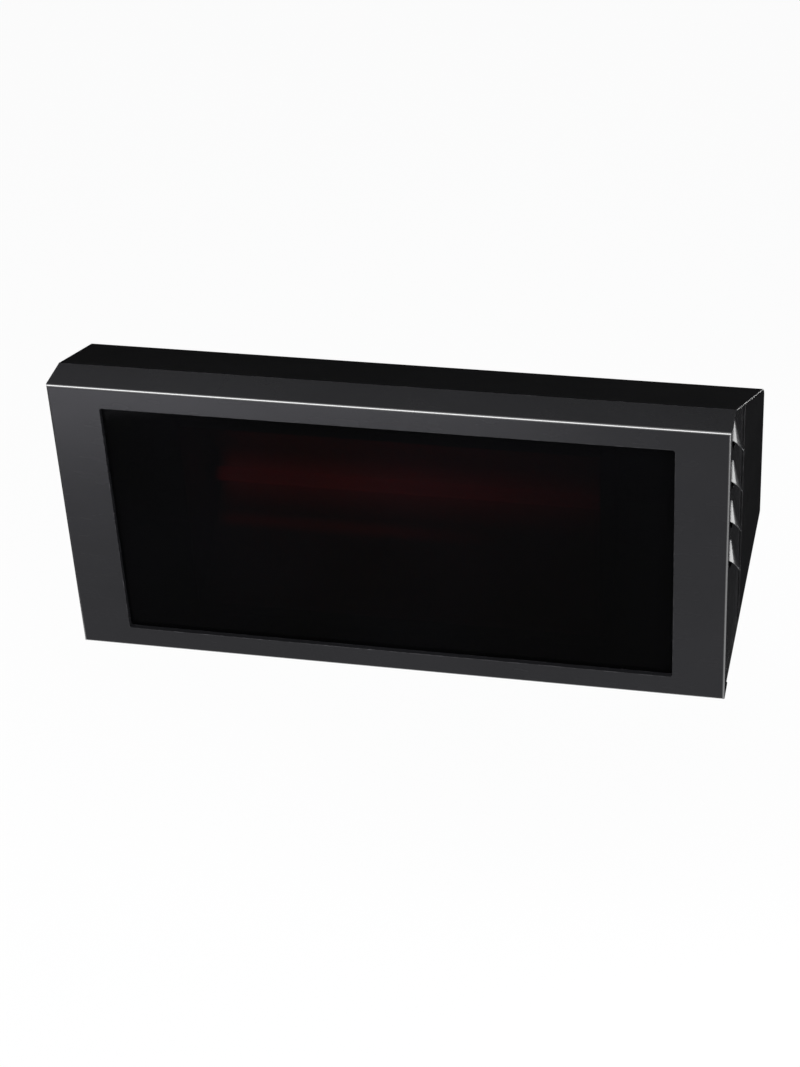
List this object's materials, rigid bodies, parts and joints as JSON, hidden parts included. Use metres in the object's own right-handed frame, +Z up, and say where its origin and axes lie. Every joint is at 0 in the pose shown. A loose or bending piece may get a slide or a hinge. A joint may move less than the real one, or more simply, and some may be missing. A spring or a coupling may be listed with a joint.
{
  "type": "infrared wall heater",
  "caption": "Wide wall-hung infrared heater: black glass front in a satin frame, wedge-shaped louvred case, halogen lamp and reflector inside, on a tilting wall bracket.",
  "frame": {"origin": "on the wall: level with the tilt pivot, midway between the bracket's ears, on the back face of the wall bracket", "axes": "+X to the right as seen by someone facing the heater's front, +Y into the wall, +Z up"},
  "size_m": [0.5228, 0.18, 0.2376],
  "materials": {
    "frame_paint": "satin anthracite powder coat",
    "case_paint": "fine-grained satin black powder coat",
    "black_glass": "polished black glass-ceramic",
    "fibre_rope": "woven glass-fibre tape",
    "bright_aluminium": "mirror-polished",
    "quartz": "ruby-coated quartz",
    "tungsten": "drawn wire",
    "ceramic": "off-white steatite ceramic, satin",
    "zinc_steel": "bright zinc plate",
    "brass": "turned",
    "lead_sleeve": "glass-fibre sleeving",
    "earth_sleeve": "green-yellow silicone",
    "black_nylon": "moulded",
    "gland_rubber": "moulded"
  },
  "bodies": {
    "wall_mount": {"wall_bracket": "case_paint", "pivot_bolts": "zinc_steel", "pivot_washers": "zinc_steel", "pivot_nuts": "zinc_steel"},
    "heater": {"front_frame": "frame_paint", "side_panel_left": "case_paint", "side_panel_right": "case_paint", "rear_shell": "case_paint", "case_screws": "zinc_steel", "case_nuts": "zinc_steel", "glass_panel": "black_glass", "glass_seal": "fibre_rope", "glass_clips": "zinc_steel", "clip_nuts": "zinc_steel", "reflector": "bright_aluminium", "reflector_end_left": "bright_aluminium", "reflector_end_right": "bright_aluminium", "reflector_rivets": "bright_aluminium", "lamp_tube": "quartz", "lamp_filament": "tungsten", "lamp_caps": "ceramic", "lamp_contacts": "zinc_steel", "lamp_holder_left": "ceramic", "lamp_holder_right": "ceramic", "holder_screws": "zinc_steel", "lamp_bracket_left": "zinc_steel", "lamp_bracket_right": "zinc_steel", "bracket_nuts": "zinc_steel", "heat_shield": "zinc_steel", "shield_screws": "zinc_steel", "terminal_block": "ceramic", "terminal_screws": "brass", "lead_left": "lead_sleeve", "lead_right": "lead_sleeve", "lead_earth": "earth_sleeve", "earth_stud": "zinc_steel", "earth_nuts": "zinc_steel", "lead_saddles": "black_nylon", "gland_body": "black_nylon", "gland_nut": "black_nylon", "gland_seal": "gland_rubber", "gland_locknut": "black_nylon", "pivot_lug_left": "case_paint", "pivot_lug_right": "case_paint", "lug_screws": "zinc_steel", "lug_nuts": "zinc_steel"},
    "contact_left": {"contact_plunger_left": "brass"},
    "contact_right": {"contact_plunger_right": "brass"}
  },
  "joints": [
    {"name": "tilt", "type": "hinge", "parent": "wall_mount", "child": "heater", "pos_m": [0, -0.028, 0], "axis": [1, 0, 0], "range_deg": [0, 40]},
    {"name": "contact_left_press", "type": "slide", "parent": "heater", "child": "contact_left", "axis": [-1, 0, 0], "range_m": [0, 0.0025], "stiffness_N_per_m": 600, "springref_m": -0.002},
    {"name": "contact_right_press", "type": "slide", "parent": "heater", "child": "contact_right", "axis": [1, 0, 0], "range_m": [0, 0.0025], "stiffness_N_per_m": 600, "springref_m": -0.002}
  ]
}
